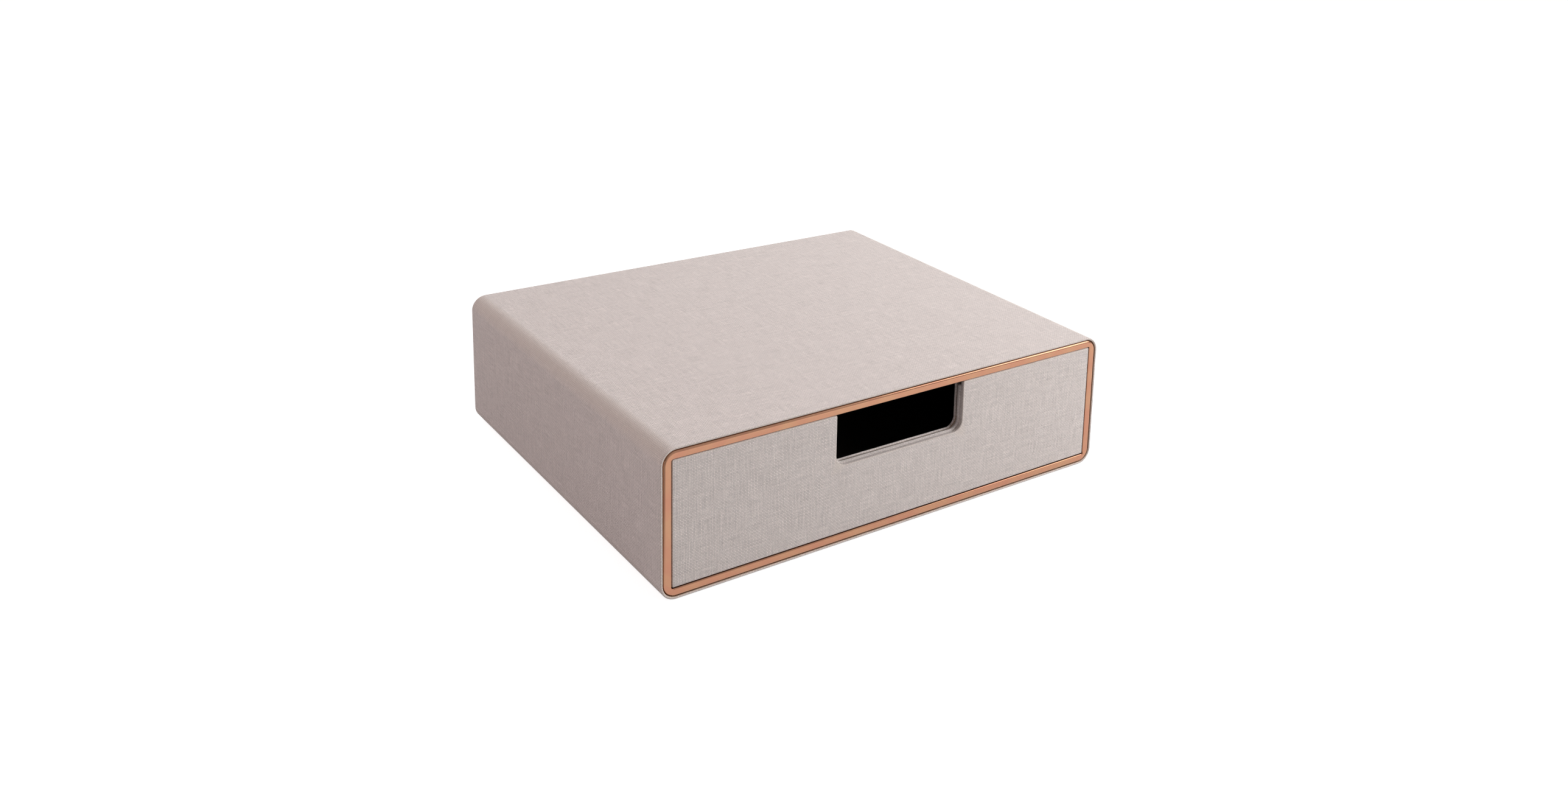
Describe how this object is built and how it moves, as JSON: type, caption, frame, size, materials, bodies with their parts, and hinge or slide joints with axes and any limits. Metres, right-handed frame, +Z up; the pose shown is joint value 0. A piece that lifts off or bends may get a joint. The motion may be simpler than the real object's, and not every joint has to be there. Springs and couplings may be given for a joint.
{
  "type": "file box with drawer",
  "caption": "Low cloth-covered desk box for papers, with a metal-framed front and a tray drawer that slides out by a finger notch.",
  "frame": {"origin": "centre of the underside, where the base felt stands on the desk", "axes": "+X to the right seen from the front, +Y from the drawer front to the back, +Z up"},
  "size_m": [0.33, 0.29, 0.093],
  "materials": {
    "board": "matt",
    "cloth": "woven, linen look",
    "felt": "matt felt",
    "rose_gold": "polished, rose-gold colour",
    "black_paper": "matt",
    "black_lining": "matt, velour"
  },
  "bodies": {
    "case": {"case_top_board": "board", "case_bottom_board": "board", "case_left_board": "board", "case_right_board": "board", "case_back_board": "board", "case_cover": "cloth", "back_cover": "cloth", "base_felt": "felt", "front_trim": "rose_gold", "liner_floor": "black_paper", "liner_top": "black_paper", "liner_left": "black_paper", "liner_right": "black_paper", "liner_back": "black_paper"},
    "drawer": {"front_panel_board": "board", "front_panel_cover": "cloth", "tray_front_board": "board", "tray_back_board": "board", "tray_left_board": "board", "tray_right_board": "board", "tray_bottom_board": "board", "tray_cover": "cloth", "tray_underside": "black_paper", "lining_floor": "black_lining", "lining_left": "black_lining", "lining_right": "black_lining", "lining_front": "black_lining", "lining_back": "black_lining"}
  },
  "joints": [
    {"name": "drawer_slide", "type": "slide", "parent": "case", "child": "drawer", "axis": [0, -1, 0], "range_m": [0, 0.2]}
  ]
}
